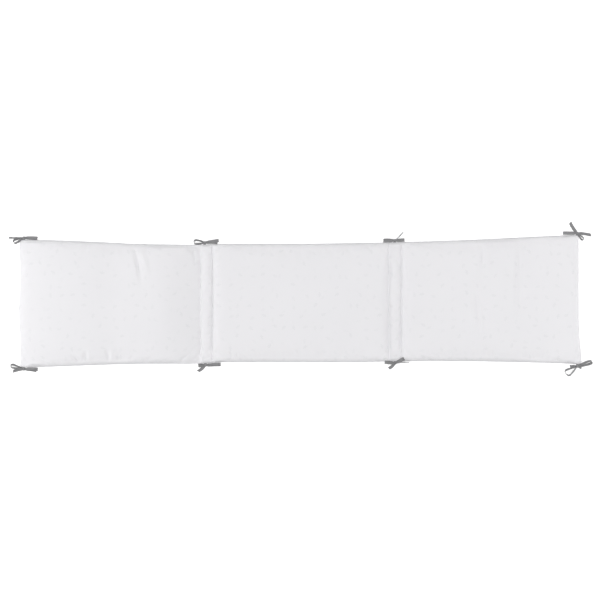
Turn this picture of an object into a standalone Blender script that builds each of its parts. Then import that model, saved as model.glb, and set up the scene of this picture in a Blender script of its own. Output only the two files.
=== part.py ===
"""Crib bumper: a long padded band of three panels and two narrow hinges, laid face up, with eight ribbon ties.

Metres, +Z up. X runs along the band and Y across it, and the middle of the flat underside is at the origin.
The band is one stuffed cover with a knife-edge seam all round and four rows of stitching right through it.
Each tie is a ribbon sewn to that seam and tied in a bow.
"""

import math
from collections import namedtuple

import bmesh
import bpy
from mathutils import Vector

# The band. Its sections run from the left end to the right one, each up to the next row of stitching.
Section = namedtuple("Section", "name width plump left_slope right_slope steps")
SECTIONS = (
    Section("left panel", 0.583, 0.0185, 0.120, 0.130, 26),
    Section("left hinge", 0.037, 0.0065, 0.014, 0.014, 6),
    Section("middle panel", 0.570, 0.0185, 0.028, 0.026, 26),
    Section("right hinge", 0.040, 0.0065, 0.014, 0.014, 6),
    Section("right panel", 0.573, 0.0185, 0.026, 0.036, 26),
)
BAND_LEFT = -0.903
ROW_STEPS = 24
SEAM_HEIGHT = 0.0065
SEAM_THICKNESS = 0.0024
RIM_SLOPE = 0.026
DOME_SHARE = 0.22
BELLY_DROP = 0.0080
BELLY_SLOPE = 0.060
CORNER_RADIUS = 0.009
UNEVENNESS = 0.0009

# How far the long edges lie from the band's middle line, at places along it.
Edge = namedtuple("Edge", "along upper lower")
EDGES = (
    Edge(-0.903, 0.2020, 0.2090),
    Edge(-0.790, 0.2000, 0.2060),
    Edge(-0.650, 0.1945, 0.2010),
    Edge(-0.520, 0.1885, 0.1975),
    Edge(-0.330, 0.1860, 0.1970),
    Edge(-0.250, 0.1885, 0.1925),
    Edge(0.000, 0.1890, 0.1920),
    Edge(0.180, 0.1915, 0.1922),
    Edge(0.320, 0.1945, 0.1895),
    Edge(0.450, 0.1980, 0.1885),
    Edge(0.600, 0.2040, 0.1900),
    Edge(0.730, 0.2105, 0.1925),
    Edge(0.830, 0.2150, 0.1955),
    Edge(0.900, 0.2175, 0.1990),
)

# Where the short ends swell out. across and span are in half widths, from the lower edge at -1 to the upper at 1.
LEFT, RIGHT = -1, 1
Swell = namedtuple("Swell", "end across span out")
SWELLS = (
    Swell(LEFT, 0.82, 0.14, 0.0035),
    Swell(LEFT, -0.14, 0.24, 0.0055),
    Swell(RIGHT, -0.95, 0.34, 0.0085),
)
SWELL_REACH = 0.150

# Soft troughs that the cloth lies in. A ridge has a depth under zero.
Crease = namedtuple("Crease", "x y length heading width depth")
CREASES = (
    Crease(-0.512, 0.110, 0.170, 102, 0.020, 0.0020),
    Crease(-0.675, -0.165, 0.060, 84, 0.022, 0.0014),
    Crease(-0.355, 0.150, 0.070, 92, 0.018, 0.0014),
    Crease(0.590, 0.030, 0.330, 88, 0.024, 0.0016),
    Crease(0.548, -0.060, 0.170, 97, 0.022, -0.0012),
    Crease(0.722, 0.070, 0.290, 90, 0.022, 0.0013),
)

# The ties: a flat ribbon 10 mm wide. Headings are in degrees from +X, seen from above.
# lean is 0 where the ribbon stands on its edge, and 90 where it lies flat. full is 0 for an oval loop
# and toward 1 for one that is round at its end. out is the knot's distance from the band.
RIBBON_WIDTH = 0.010
RIBBON_THICKNESS = 0.0012
KNOT_HEIGHT = 0.0062
KNOT_SIZE = (0.0088, 0.0098, 0.0096)
KNOT_ROUNDING = 0.0026
ROOT_GAP = 0.0007
LAYER_GAP = 0.0009
FLOOR_GAP = 0.0004
LOOP_STEPS = 16
TAIL_STEPS = 7
CLIMB_SHARE = 0.4
Loop = namedtuple("Loop", "heading reach gap full lean lift", defaults=(0.0,))
Tail = namedtuple("Tail", "heading reach bend lean")
Tie = namedtuple("Tie", "name along side out strands")
UPPER, LOWER = 1, -1
TIES = (
    Tie("tie_top_left", -0.892, UPPER, 0.0070, (
        Loop(-2, 0.044, 0.0055, 0.5, 74),
        Loop(203, 0.036, 0.0120, 0.4, 10),
        Tail(179, 0.049, 0.0015, 30),
    )),
    Tie("tie_top_left_hinge", -0.308, UPPER, 0.0066, (
        Loop(175, 0.035, 0.0130, 0.1, 5),
        Loop(9, 0.046, 0.0045, 0.5, 76),
        Tail(1, 0.041, 0.0010, 80),
    )),
    Tie("tie_top_right_hinge", 0.306, UPPER, 0.0062, (
        Loop(180, 0.037, 0.0075, 0.2, 66),
        Loop(3, 0.032, 0.0045, 0.4, 80),
        Tail(45, 0.039, -0.0012, 12),
    )),
    Tie("tie_top_right", 0.8955, UPPER, 0.0062, (
        Loop(179, 0.046, 0.0050, 0.4, 75),
        Loop(-46, 0.029, 0.0070, 0.4, 35),
        Tail(122, 0.041, 0.0012, 86),
        Tail(-7, 0.046, 0.0015, 66),
    )),
    Tie("tie_bottom_left", -0.892, LOWER, 0.0064, (
        Loop(165, 0.044, 0.0090, 0.5, 20),
        Loop(-1, 0.045, 0.0070, 0.3, 66),
        Tail(192, 0.037, -0.0015, 76),
        Tail(-8, 0.039, 0.0010, 82),
    )),
    Tie("tie_bottom_left_hinge", -0.306, LOWER, 0.0066, (
        Loop(3, 0.050, 0.0045, 0.3, 60),
        Loop(183, 0.023, 0.0050, 0.3, 55),
        Tail(221, 0.031, 0.0015, 80),
    )),
    Tie("tie_bottom_right_hinge", 0.3075, LOWER, 0.0064, (
        Loop(173, 0.035, 0.0050, 0.3, 78, 0.0240),
        Loop(30, 0.032, 0.0070, 0.2, 74, 0.0280),
        Tail(221, 0.027, 0.0015, 84),
        Tail(3, 0.046, 0.0015, 8),
    )),
    Tie("tie_bottom_right", 0.8965, LOWER, 0.0070, (
        Loop(213, 0.045, 0.0185, 0.5, 8),
        Loop(17, 0.049, 0.0110, 0.2, 20),
        Tail(184, 0.023, 0.0005, 80),
        Tail(-22, 0.015, 0.0005, 80),
    )),
)

COVER_COLOUR = (0.80, 0.80, 0.82, 1.0)
RIBBON_COLOUR = (0.25, 0.25, 0.255, 1.0)


def clear_scene():
    for obj in list(bpy.data.objects):
        bpy.data.objects.remove(obj, do_unlink=True)


def new_collection(name):
    collection = bpy.data.collections.new(name)
    bpy.context.scene.collection.children.link(collection)
    return collection


def make_material(name, colour, roughness):
    material = bpy.data.materials.new(name)
    material.use_nodes = True
    shader = material.node_tree.nodes["Principled BSDF"]
    shader.inputs["Base Color"].default_value = colour
    shader.inputs["Roughness"].default_value = roughness
    shader.inputs["Metallic"].default_value = 0.0
    return material


def add_object(name, mesh, collection, material):
    obj = bpy.data.objects.new(name, mesh)
    collection.objects.link(obj)
    mesh.materials.append(material)
    return obj


def smooth_step(share):
    share = min(max(share, 0.0), 1.0)
    return share * share * (3 - 2 * share)


def edge_reach(along, side):
    """The distance of a long edge from the middle line, on a smooth curve through the rows of EDGES."""
    row = 0
    while row < len(EDGES) - 2 and along > EDGES[row + 1].along:
        row += 1
    reaches = [edge.upper if side == UPPER else edge.lower for edge in EDGES]
    start, end = EDGES[row].along, EDGES[row + 1].along
    slopes = []
    for at in (row, row + 1):
        before, after = max(at - 1, 0), min(at + 1, len(EDGES) - 1)
        slopes.append((reaches[after] - reaches[before]) / (EDGES[after].along - EDGES[before].along))
    share = min(max((along - start) / (end - start), 0.0), 1.0)
    blend = smooth_step(share)
    line = reaches[row] * (1 - blend) + reaches[row + 1] * blend
    tangents = slopes[0] * (1 - share) ** 2 * share - slopes[1] * share ** 2 * (1 - share)
    return line + tangents * (end - start)


def end_swell(along, across):
    """How far a point moves along X, because the short ends aren't straight. across is -1 to 1."""
    insets = {LEFT: along - BAND_LEFT, RIGHT: band_right() - along}
    moved = 0.0
    for swell in SWELLS:
        bulge = math.exp(-(((across - swell.across) / swell.span) ** 2))
        moved += swell.end * swell.out * bulge * (1 - smooth_step(insets[swell.end] / SWELL_REACH))
    return moved


def band_right():
    return BAND_LEFT + sum(section.width for section in SECTIONS)


def quarter_round(distance, slope):
    """The share of the full crown this far in from a seam, 1 from slope inwards."""
    share = min(max(distance / slope, 0.0), 1.0)
    return math.sqrt(1 - (1 - share) ** 2)


def section_at(along):
    """The section that a place along the band is in, and where it starts."""
    start = BAND_LEFT
    for section in SECTIONS[:-1]:
        if along < start + section.width:
            return section, start
        start += section.width
    return SECTIONS[-1], start


def crown(along, across):
    """How far the top stands above the seams: round shoulders, and a low dome over the whole section."""
    section, start = section_at(along)
    from_left, from_right = along - start, start + section.width - along
    shoulders = quarter_round(from_left, section.left_slope) * quarter_round(from_right, section.right_slope)
    shoulders *= quarter_round(rim_distance(along, across), RIM_SLOPE)
    dome = math.sin(math.pi * from_left / section.width) * (1 - across ** 2)
    return section.plump * shoulders * (1 - DOME_SHARE + DOME_SHARE * max(dome, 0.0))


def belly(along, across):
    """How far the underside hangs below the seams, before the floor flattens it."""
    section, start = section_at(along)
    slope = min(BELLY_SLOPE, section.width / 2)
    lengthwise = quarter_round(along - start, slope) * quarter_round(start + section.width - along, slope)
    return BELLY_DROP * lengthwise * quarter_round(rim_distance(along, across), BELLY_SLOPE)


def half_width(along):
    return (edge_reach(along, UPPER) + edge_reach(along, LOWER)) / 2


def rim_distance(along, across):
    """How far in from the nearer long edge a place is."""
    return half_width(along) * (1 - abs(across))


def crease_depth(x, y):
    """The depth of all the creases at a place: each is a soft trough that fades out along its line."""
    depth = 0.0
    for crease in CREASES:
        heading = math.radians(crease.heading)
        dx, dy = x - crease.x, y - crease.y
        lengthwise = dx * math.cos(heading) + dy * math.sin(heading)
        sideways = dy * math.cos(heading) - dx * math.sin(heading)
        fade = 1 - smooth_step(abs(lengthwise) / (crease.length / 2))
        depth += crease.depth * fade * math.exp(-((sideways / (crease.width / 2)) ** 2))
    return depth


def unevenness(x, y):
    """The slow rise and fall of the wadding."""
    waves = math.sin(9.0 * x + 3.1 * y) + math.sin(14.0 * x - 11.0 * y + 1.3) + math.sin(21.0 * y + 6.0 * x)
    return UNEVENNESS * waves / 3


def seam_fade(along, across):
    """0 at a seam, and 1 from a little way inside a section."""
    section, start = section_at(along)
    nearest = min(along - start, start + section.width - along)
    return smooth_step(nearest / RIM_SLOPE) * smooth_step(rim_distance(along, across) / RIM_SLOPE)


def rounded_corner(inset_x, inset_y):
    """How far a point moves in from each edge, where the corner is rounded."""
    if inset_x >= CORNER_RADIUS or inset_y >= CORNER_RADIUS:
        return inset_x, inset_y
    from_x, from_y = CORNER_RADIUS - inset_x, CORNER_RADIUS - inset_y
    length = math.hypot(from_x, from_y)
    shrink = max(from_x, from_y) / length if length else 1.0
    return CORNER_RADIUS - from_x * shrink, CORNER_RADIUS - from_y * shrink


def column_places():
    """The grid's places along the band, closer together beside each seam."""
    places = [BAND_LEFT]
    for section in SECTIONS:
        start = places[-1]
        for step in range(1, section.steps + 1):
            share = (1 - math.cos(math.pi * step / section.steps)) / 2
            places.append(start + section.width * share)
    return places


def row_places():
    """The grid's places across the band, from -1 at the lower edge to 1 at the upper one."""
    return [-math.cos(math.pi * step / ROW_STEPS) for step in range(ROW_STEPS + 1)]


def place_on_band(along, across):
    """(x, y) of a grid point."""
    middle = (edge_reach(along, UPPER) - edge_reach(along, LOWER)) / 2
    inset_x, inset_y = min(along - BAND_LEFT, band_right() - along), rim_distance(along, across)
    moved_x, moved_y = rounded_corner(inset_x, inset_y)
    inward = 1 if along < 0 else -1
    x = along + inward * (moved_x - inset_x) + end_swell(along, across)
    y = middle + math.copysign(half_width(along) - moved_y, across)
    return x, y


def make_band(collection, material):
    """The stuffed cover: a grid that is extruded to two layers, which are then shaped apart."""
    columns, rows = column_places(), row_places()
    shape = bmesh.new()
    bmesh.ops.create_grid(shape, x_segments=len(columns) - 1, y_segments=ROW_STEPS, size=1)
    shape.verts.ensure_lookup_table()
    spots = {}
    for vert in shape.verts:
        column = round((vert.co.x + 1) / 2 * (len(columns) - 1))
        row = round((vert.co.y + 1) / 2 * ROW_STEPS)
        spots[vert] = (columns[column], rows[row])
    made = bmesh.ops.extrude_face_region(shape, geom=shape.faces[:], use_keep_orig=True)
    lower = [item for item in made["geom"] if isinstance(item, bmesh.types.BMVert)]
    by_place = {vert.co.to_tuple(5): spot for vert, spot in spots.items()}
    for vert in lower:
        along, across = by_place[vert.co.to_tuple(5)]
        height = SEAM_HEIGHT - SEAM_THICKNESS / 2 - belly(along, across)
        vert.co = (*place_on_band(along, across), max(height, 0.0))
    for vert, (along, across) in spots.items():
        x, y = place_on_band(along, across)
        relief = (unevenness(x, y) - crease_depth(x, y)) * seam_fade(along, across)
        vert.co = (x, y, SEAM_HEIGHT + SEAM_THICKNESS / 2 + crown(along, across) + relief)
    bmesh.ops.recalc_face_normals(shape, faces=shape.faces)
    mesh = bpy.data.meshes.new("band")
    shape.to_mesh(mesh)
    shape.free()
    mesh.shade_smooth()
    return add_object("padded_band", mesh, collection, material)


def strand_frame(heading, lean):
    """(forward, the way a loop opens, the ribbon's width) for a strand that leans over by lean."""
    turn, tip = math.radians(heading), math.radians(lean)
    forward = Vector((math.cos(turn), math.sin(turn), 0))
    side = Vector((-math.sin(turn), math.cos(turn), 0))
    up = Vector((0, 0, 1))
    return forward, side * math.cos(tip) + up * math.sin(tip), up * math.cos(tip) - side * math.sin(tip)


def resting_height(half_gap, lean):
    """How high the middle of a strand is where its lowest edge lies on the floor."""
    tip = math.radians(lean)
    sideways = half_gap + RIBBON_THICKNESS / 2
    return RIBBON_WIDTH / 2 * math.cos(tip) + sideways * math.sin(tip) + FLOOR_GAP


def loop_path(loop):
    """Points out along one layer of a loop, round its end and back along the other, from the knot's middle."""
    forward, opening, _ = strand_frame(loop.heading, loop.lean)
    shares = [step / LOOP_STEPS for step in range(LOOP_STEPS + 1)]
    aparts = []
    for share in shares:
        turn = 2 * math.pi * share
        swing = math.sin(turn) * (1 - loop.full * math.cos(turn))
        aparts.append(loop.gap / 2 * swing + LAYER_GAP * math.cos(turn / 2))
    rest = max(resting_height(max(aparts), loop.lean), loop.lift)
    points = []
    for share, apart in zip(shares, aparts):
        out = math.sin(math.pi * share)
        height = KNOT_HEIGHT + (rest - KNOT_HEIGHT) * smooth_step(out / CLIMB_SHARE)
        points.append(forward * (loop.reach * out) + opening * apart + Vector((0, 0, height)))
    return points


def tail_path(tail):
    """Points from the knot's middle out to a cut end, down to the floor and a little to one side."""
    forward, _, _ = strand_frame(tail.heading, tail.lean)
    side = Vector((-forward.y, forward.x, 0))
    rest = resting_height(0, tail.lean)
    points = []
    for step in range(TAIL_STEPS + 1):
        share = step / TAIL_STEPS
        height = KNOT_HEIGHT + (rest - KNOT_HEIGHT) * smooth_step(share / 0.7)
        sideways = side * (tail.bend * math.sin(math.pi * share))
        points.append(forward * (tail.reach * share) + sideways + Vector((0, 0, height)))
    return points


def ribbon_mesh(name, points, width_way):
    """An open strip: the path as a chain of edges, drawn out sideways by the ribbon's width."""
    shape = bmesh.new()
    half = width_way * (RIBBON_WIDTH / 2)
    chain = [shape.verts.new(point - half) for point in points]
    edges = [shape.edges.new(pair) for pair in zip(chain, chain[1:])]
    made = bmesh.ops.extrude_edge_only(shape, edges=edges)
    moved = [item for item in made["geom"] if isinstance(item, bmesh.types.BMVert)]
    bmesh.ops.translate(shape, verts=moved, vec=2 * half)
    mesh = bpy.data.meshes.new(name)
    shape.to_mesh(mesh)
    shape.free()
    return mesh


def thicken(obj, thickness):
    solid = obj.modifiers.new("thickness", "SOLIDIFY")
    solid.thickness = thickness
    solid.offset = 0
    solid.use_even_offset = True


def hide_helper(obj):
    obj.hide_render = True
    obj.display_type = "WIRE"


def make_tie(tie, collection, material):
    """A bow: the knot's solid, joined with its loops, its tails and the doubled root at the seam."""
    edge = tie.side * edge_reach(tie.along, tie.side)
    knot_at = Vector((tie.along, edge + tie.side * tie.out, 0))
    helpers = bpy.data.collections.new(tie.name + "_strands")
    bpy.context.scene.collection.children.link(helpers)
    for number, strand in enumerate(tie.strands):
        path = loop_path(strand) if isinstance(strand, Loop) else tail_path(strand)
        _, _, width_way = strand_frame(strand.heading, strand.lean)
        mesh = ribbon_mesh(f"{tie.name}_strand_{number}", path, width_way)
        ribbon = add_object(mesh.name, mesh, helpers, material)
        ribbon.location = knot_at
        thicken(ribbon, RIBBON_THICKNESS)
        hide_helper(ribbon)
    root_start = Vector((0, -tie.side * (tie.out - ROOT_GAP), SEAM_HEIGHT))
    root_path = [root_start, Vector((0, tie.side * ROOT_GAP, KNOT_HEIGHT))]
    root_mesh = ribbon_mesh(tie.name + "_root", root_path, Vector((1, 0, 0)))
    root = add_object(root_mesh.name, root_mesh, helpers, material)
    root.location = knot_at
    thicken(root, 2 * RIBBON_THICKNESS)
    hide_helper(root)

    shape = bmesh.new()
    bmesh.ops.create_cube(shape, size=1.0)
    bmesh.ops.scale(shape, verts=shape.verts, vec=KNOT_SIZE)
    bmesh.ops.bevel(shape, geom=shape.edges[:], offset=KNOT_ROUNDING, segments=2, profile=0.5, affect="EDGES")
    bmesh.ops.translate(shape, verts=shape.verts, vec=(0, 0, KNOT_HEIGHT))
    mesh = bpy.data.meshes.new(tie.name)
    shape.to_mesh(mesh)
    shape.free()
    bow = add_object(tie.name, mesh, collection, material)
    bow.location = knot_at
    joined = bow.modifiers.new("strands", "BOOLEAN")
    joined.operation = "UNION"
    joined.solver = "EXACT"
    joined.operand_type = "COLLECTION"
    joined.collection = helpers
    return bow


def main():
    clear_scene()
    bumper = new_collection("crib_bumper")
    cover = make_material("cover_cotton", COVER_COLOUR, 0.92)
    ribbon = make_material("tie_ribbon", RIBBON_COLOUR, 0.85)
    make_band(bumper, cover)
    for tie in TIES:
        make_tie(tie, bumper, ribbon)


main()
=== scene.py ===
"""Crib bumper: a padded band of three panels and two hinge strips with ribbon ties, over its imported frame."""

import math
from collections import namedtuple

import bmesh
import bpy
import numpy as np
from bpy.props import FloatProperty, FloatVectorProperty, IntProperty, PointerProperty
from mathutils import Matrix, Vector
from mathutils.bvhtree import BVHTree


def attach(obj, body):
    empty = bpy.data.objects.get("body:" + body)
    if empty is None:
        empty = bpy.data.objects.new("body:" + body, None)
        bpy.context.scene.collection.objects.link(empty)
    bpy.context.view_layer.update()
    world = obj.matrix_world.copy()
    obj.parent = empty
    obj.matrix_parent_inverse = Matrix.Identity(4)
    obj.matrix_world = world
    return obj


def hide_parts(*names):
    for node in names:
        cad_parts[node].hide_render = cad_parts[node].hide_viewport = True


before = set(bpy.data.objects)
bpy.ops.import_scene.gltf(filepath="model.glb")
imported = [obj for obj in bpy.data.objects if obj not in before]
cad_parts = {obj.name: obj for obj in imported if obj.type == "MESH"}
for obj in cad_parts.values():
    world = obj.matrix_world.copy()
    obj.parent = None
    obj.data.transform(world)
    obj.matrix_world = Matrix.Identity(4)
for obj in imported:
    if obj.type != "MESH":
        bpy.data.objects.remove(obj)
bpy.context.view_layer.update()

bl_info = {
    "name": "Crib Bumper",
    "version": (1, 0, 0),
    "blender": (4, 5, 0),
    "location": "3D View > Sidebar > Bumper",
    "description": "Makes a padded crib bumper with stitched hinges and ribbon ties, laid out flat",
    "category": "Object",
}

# The band's sections from the left end to the right one, each up to the next row of stitching. plump is how
# far its top stands above the seams, and a slope how far in from a seam its shoulder reaches. A fall is the
# share of its loft that a panel loses toward a seam, over a run.
Section = namedtuple("Section", "width plump left_slope right_slope left_fall left_run right_fall right_run",
                     defaults=(0.0, 0.1, 0.0, 0.1))
SECTIONS = (
    Section(0.583, 0.0185, 0.014, 0.007, 0.68, 0.170, 0.92, 0.120),
    Section(0.037, 0.0088, 0.0050, 0.0042),
    Section(0.570, 0.0185, 0.016, 0.0050),
    Section(0.040, 0.0092, 0.0045, 0.0048),
    Section(0.573, 0.0185, 0.009, 0.0070),
)
BAND_LEFT = -0.903
SEAMS = BAND_LEFT + np.concatenate([[0], np.cumsum([section.width for section in SECTIONS])])
STITCH_ROWS = SEAMS[1:-1]

# How far the long edges lie from the band's middle line, at places along it.
EDGE_ALONG = (-0.903, -0.790, -0.650, -0.520, -0.330, -0.250, 0.000,
              0.180, 0.320, 0.450, 0.600, 0.730, 0.830, 0.900)
EDGE_UPPER = (0.2020, 0.2000, 0.1945, 0.1885, 0.1860, 0.1885, 0.1890,
              0.1915, 0.1945, 0.1980, 0.2040, 0.2105, 0.2150, 0.2175)
EDGE_LOWER = (0.2090, 0.2060, 0.2010, 0.1975, 0.1970, 0.1925, 0.1920,
              0.1922, 0.1895, 0.1885, 0.1900, 0.1925, 0.1955, 0.1990)

# Where the short ends swell out. across and span are in half widths: -1 is the lower edge, and 1 the upper.
LEFT, RIGHT = -1, 1
Swell = namedtuple("Swell", "end across span out")
SWELLS = (
    Swell(LEFT, 0.82, 0.14, 0.0035),
    Swell(LEFT, -0.14, 0.24, 0.0055),
    Swell(RIGHT, -0.95, 0.34, 0.0085),
)
SWELL_REACH = 0.150

# Soft troughs that the cloth lies in, with headings in degrees from +X. A ridge has a depth under zero.
Crease = namedtuple("Crease", "x y length heading width depth")
CREASES = (
    Crease(-0.600, 0.000, 1.200, 90, 0.110, 0.0040),
    Crease(-0.453, 0.000, 1.200, 90, 0.110, -0.0048),
    Crease(0.640, 0.000, 1.200, 90, 0.120, -0.0030),
    Crease(0.777, 0.000, 1.200, 90, 0.130, 0.0070),
    Crease(-0.520, 0.118, 0.150, 101, 0.013, 0.0057),
    Crease(-0.497, 0.128, 0.110, 104, 0.014, -0.0030),
    Crease(-0.690, -0.176, 0.054, 88, 0.010, 0.0048),
    Crease(-0.618, -0.173, 0.056, 93, 0.010, 0.0044),
    Crease(-0.605, -0.175, 0.050, 90, 0.010, -0.0022),
    Crease(-0.720, -0.184, 0.060, 136, 0.010, 0.0036),
    Crease(-0.585, -0.184, 0.032, 90, 0.009, 0.0029),
    Crease(-0.566, -0.185, 0.028, 92, 0.009, 0.0027),
    Crease(-0.546, -0.184, 0.030, 88, 0.009, 0.0029),
    Crease(-0.340, 0.145, 0.075, 92, 0.009, 0.0026),
    Crease(-0.328, 0.158, 0.050, 90, 0.007, 0.0018),
    Crease(-0.222, -0.170, 0.040, 90, 0.006, 0.0031),
    Crease(-0.203, -0.172, 0.036, 91, 0.006, 0.0026),
    Crease(0.585, 0.135, 0.150, 87, 0.016, 0.0048),
    Crease(0.568, -0.030, 0.190, 95, 0.014, 0.0044),
    Crease(0.607, 0.120, 0.150, 88, 0.016, -0.0024),
    Crease(0.583, -0.050, 0.150, 95, 0.014, -0.0024),
    Crease(0.705, 0.065, 0.270, 90, 0.014, 0.0038),
    Crease(0.619, -0.172, 0.040, 91, 0.008, 0.0031),
    Crease(0.606, -0.170, 0.040, 89, 0.007, 0.0026),
    Crease(0.727, 0.175, 0.050, 92, 0.010, 0.0028),
)

# The ties. heading is in degrees from +X, lean tips a strand over sideways, gap is a loop's opening, full is
# how much wider it is toward its end, and lift holds it up off the floor. out is how far the knot is from the
# seam, and bend how far a tail curves to one side.
UPPER, LOWER = 1, -1
Loop = namedtuple("Loop", "heading reach gap full lean lift", defaults=(0.0,))
Tail = namedtuple("Tail", "heading reach bend lean")
Tie = namedtuple("Tie", "name along side out strands")
TIES = (
    Tie("tie_top_left", -0.892, UPPER, 0.0070, (
        Loop(-2, 0.044, 0.0055, 0.5, 74),
        Loop(203, 0.036, 0.0120, 0.4, 30),
        Tail(179, 0.049, 0.0015, 30),
    )),
    Tie("tie_top_left_hinge", -0.308, UPPER, 0.0066, (
        Loop(175, 0.035, 0.0130, 0.1, 30),
        Loop(9, 0.046, 0.0045, 0.5, 76),
        Tail(1, 0.041, 0.0010, 80),
    )),
    Tie("tie_top_right_hinge", 0.306, UPPER, 0.0062, (
        Loop(180, 0.037, 0.0075, 0.2, 66),
        Loop(3, 0.032, 0.0045, 0.4, 80),
        Tail(45, 0.039, -0.0012, 12),
    )),
    Tie("tie_top_right", 0.8955, UPPER, 0.0062, (
        Loop(179, 0.046, 0.0050, 0.4, 75),
        Loop(-46, 0.029, 0.0070, 0.4, 35),
        Tail(122, 0.041, 0.0012, 86),
        Tail(-7, 0.046, 0.0015, 66),
    )),
    Tie("tie_bottom_left", -0.892, LOWER, 0.0064, (
        Loop(165, 0.044, 0.0100, 0.5, 38),
        Loop(-1, 0.045, 0.0070, 0.3, 66),
        Tail(192, 0.037, -0.0015, 76),
        Tail(-8, 0.039, 0.0010, 82),
    )),
    Tie("tie_bottom_left_hinge", -0.306, LOWER, 0.0066, (
        Loop(3, 0.050, 0.0045, 0.3, 60),
        Loop(183, 0.023, 0.0050, 0.3, 55),
        Tail(221, 0.031, 0.0015, 80),
    )),
    Tie("tie_bottom_right_hinge", 0.3075, LOWER, 0.0064, (
        Loop(173, 0.035, 0.0050, 0.3, 78, 0.0215),
        Loop(30, 0.032, 0.0070, 0.2, 74, 0.0270),
        Tail(221, 0.027, 0.0015, 84),
        Tail(3, 0.046, 0.0015, 8),
    )),
    Tie("tie_bottom_right", 0.8965, LOWER, 0.0070, (
        Loop(213, 0.045, 0.0200, 0.5, 38),
        Loop(17, 0.049, 0.0120, 0.2, 40),
        Tail(184, 0.023, 0.0005, 80),
        Tail(-22, 0.015, 0.0005, 80),
    )),
)

# The cloth's grid: its rows to the metre as a share of its columns, and how both crowd toward their seams.
ROW_SHARE = 0.75
FEWEST_COLUMNS = 14
COLUMN_CROWDING, ROW_CROWDING = 0.3, 0.6

# A point of the grid that is this close to a seam is on it.
SAME_PLACE = 1e-6

# How steeply a panel's loft falls toward a seam.
FALL_CURVE = 2.1

# The wadding's slow waves, in radians to the metre along x and y, with where each starts.
WADDING_WAVES = ((9.0, 3.1, 0.0), (14.0, -11.0, 1.3), (6.0, 21.0, 0.0))

# The rim's small waves: their lengths, how much closer they come along the short ends, and their usual peak.
RIM_WAVE_LENGTHS = (0.083, 0.047, 0.031, 0.019, 0.013)
RIM_WAVE_SKEW = 1.3
RIM_WAVE_PEAK = 3

# The seeds of the random draws.
RIM_SEED, TIE_SEED = 12, 70

# The rings of points between the rim's two layers. The middle one is drawn in, by a share of a lip.
LIP_RINGS, MIDDLE_RING = 3, 2
SEAM_DRAW = 0.8

# How much of the rim's painted shade the rows of stitching and the short ends have.
ROW_PAINTED_SHADE = 0.2

# How the cover's cloth behaves as it settles. Its underside is held where it lies this low.
CLOTH = {
    "quality": 5,
    "mass": 0.15,
    "tension_stiffness": 12,
    "compression_stiffness": 12,
    "shear_stiffness": 4,
    "bending_stiffness": 0.6,
    "air_damping": 3,
}
HELD_BELOW = 0.0004

# How finely the ribbon is cut up, along a strand and across it.
LOOP_PLACES, TAIL_PLACES, WRAP_PLACES, ROOT_PLACES = 73, 33, 57, 13
RIBBON_COLUMNS, WRAP_COLUMNS = 9, 13
SHARP_ANGLE = math.radians(50)

# The share of its reach over which a loop or a tail comes down from the knot to the floor.
LOOP_SETTLE, TAIL_SETTLE = 0.4, 0.7

# The ribbon's folds at the knot, in radians over half its width, its flutter along a strand, and its cuts.
GATHER_TURN = 1.5 * math.pi
FLUTTER, FLUTTER_LENGTH = 0.0003, 0.0045
CUT_FROM, CUT_SLANT = 0.75, 0.0022

# The wrap round a knot: its turn, the thicknesses it climbs, how square it is, and its drawn-in edges.
WRAP_START, WRAP_END = -0.62 * math.pi, 1.55 * math.pi
WRAP_CLIMB, WRAP_SQUARENESS = 1.15, 2.5
WRAP_DRAW, WRAP_DRAW_CURVE = 0.0019, 2.2
WRAP_CREASES, WRAP_TILT = 0.00016, 0.0006

# A root's tuck behind the seam, and each layer's distance from its middle in thicknesses.
ROOT_TUCK, ROOT_SPACING = 0.0012, 0.62

# The height from which a stitch is dropped on the cover.
DROP_HEIGHT = 0.1

# Fine detail of the finishes. Grains are specks to the metre, and ribs and warps are to a ribbon's width.
WEAVE_PITCH, TWIST_PITCH = 0.00055, 0.00045
CLOUD_GRAIN, SLUB_GRAIN, FIBRE_GRAIN, FADE_GRAIN = 9.0, 420.0, 1500.0, 60.0
SLUB_STRETCH = (1, 6, 1)
RIB_COUNT, WARP_COUNT = 22, 26
WOVEN_EDGE = (0.42, 0.44)
WEAVE_RELIEF, TWIST_RELIEF, RIB_RELIEF = 0.00002, 0.00004, 0.00005

# The leaves and stem of one sprig, how loosely sprigs are strewn, and how soft their outline is.
Leaf = namedtuple("Leaf", "x y turn length width")
SPRIG_LEAVES = (
    Leaf(0.0000, 0.0000, 90, 0.0140, 0.0010),
    Leaf(0.0000, 0.0080, 90, 0.0056, 0.0028),
    Leaf(0.0026, 0.0042, 38, 0.0052, 0.0024),
    Leaf(-0.0026, 0.0026, 142, 0.0052, 0.0024),
    Leaf(0.0026, -0.0006, 38, 0.0048, 0.0022),
    Leaf(-0.0025, -0.0024, 142, 0.0046, 0.0020),
)
SPRIG_LOOSENESS = 0.85
LEAF_OUTLINE = (0.85, 1.15)

# The colour sockets of a Mix node.
MIX_SHARE, MIX_FIRST, MIX_SECOND, MIX_RESULT = 0, 6, 7, 2

# The stage: half the floor's side, the square lamps, the key light's distance, and the camera's lens and reach.
FLOOR_REACH = 8
Lamp = namedtuple("Lamp", "name side place")
LAMPS = (
    Lamp("top_lamp", 1.9, (0, 0, 5.5)),
    Lamp("left_lamp", 0.9, (-2.4, 0, 0.75)),
    Lamp("right_lamp", 0.9, (2.4, 0, 0.75)),
)
KEY_DISTANCE = 3
CAMERA_SHIFT = 0.008
LENS_LENGTH, SENSOR_WIDTH = 85, 36
SIGHT_REACH = 50

UP = np.array([0, 0, 1])


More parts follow.
